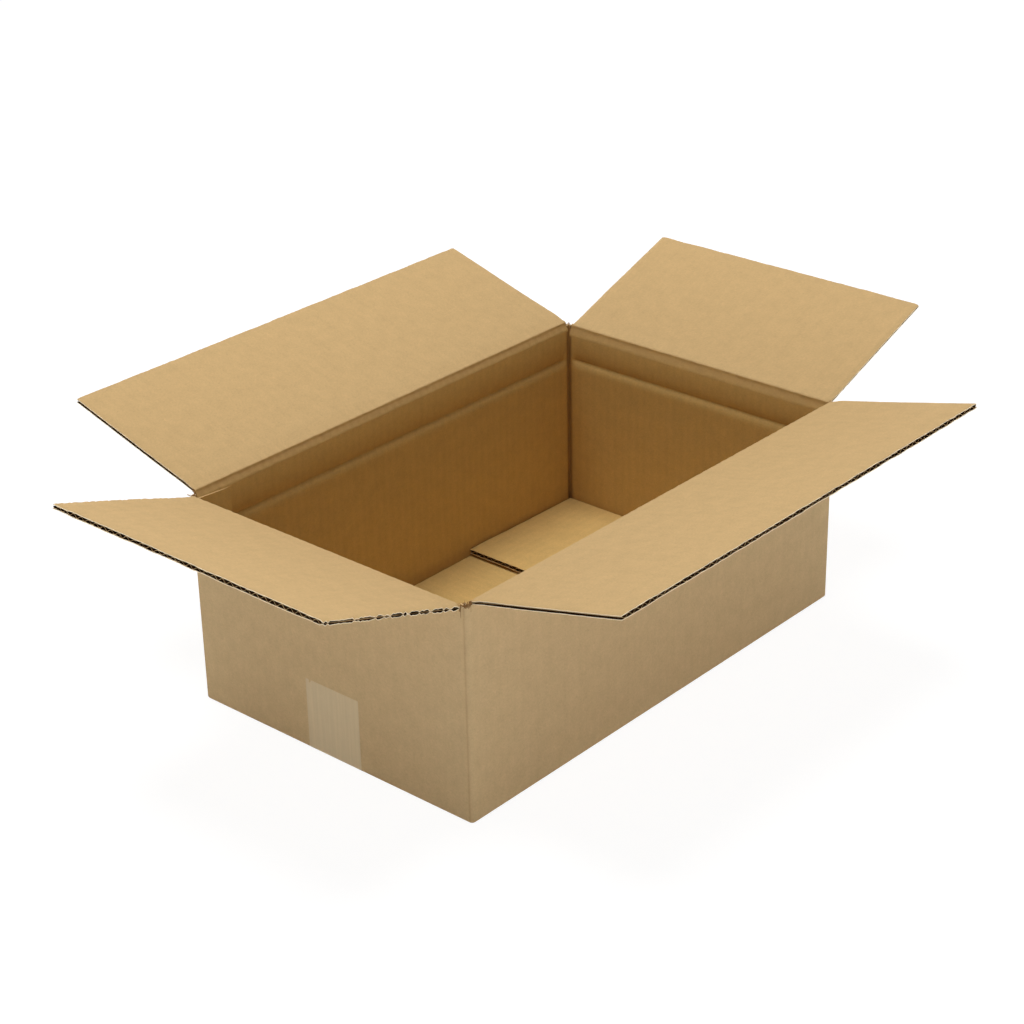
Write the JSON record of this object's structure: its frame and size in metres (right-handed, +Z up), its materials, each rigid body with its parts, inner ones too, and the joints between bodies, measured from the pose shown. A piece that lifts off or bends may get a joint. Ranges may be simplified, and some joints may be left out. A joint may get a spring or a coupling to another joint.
{
  "type": "open cardboard box",
  "caption": "Shipping carton of corrugated board, open at the top with its hinged flaps leaning outwards and its bottom seam taped.",
  "frame": {"origin": "on the floor at the centre of the carton's base", "axes": "+X along the long walls, towards the right end wall; +Y from the front wall to the rear wall; +Z up"},
  "size_m": [0.6445, 0.4991, 0.2034],
  "materials": {
    "board": "matt kraft liner, unprinted",
    "tape": "thin clear-tan film, slightly glossy"
  },
  "bodies": {
    "carton": {"box_body": "board", "sealing_tape": "tape"},
    "front_flap": {"front_flap": "board"},
    "rear_flap": {"rear_flap": "board"},
    "left_end_flap": {"left_end_flap": "board"},
    "right_end_flap": {"right_end_flap": "board"}
  },
  "joints": [
    {"name": "front_flap_fold", "type": "hinge", "parent": "carton", "child": "front_flap", "pos_m": [0, -0.129, 0.1623], "axis": [-1, 0, 0], "range_deg": [-98.4, 165.6]},
    {"name": "rear_flap_fold", "type": "hinge", "parent": "carton", "child": "rear_flap", "pos_m": [0, 0.129, 0.1623], "axis": [1, 0, 0], "range_deg": [-100.3, 163.7]},
    {"name": "left_end_flap_fold", "type": "hinge", "parent": "carton", "child": "left_end_flap", "pos_m": [-0.204, 0, 0.1581], "axis": [0, 1, 0], "range_deg": [-102.4, 161.6]},
    {"name": "right_end_flap_fold", "type": "hinge", "parent": "carton", "child": "right_end_flap", "pos_m": [0.204, 0, 0.1581], "axis": [0, -1, 0], "range_deg": [-103.4, 160.6]}
  ]
}
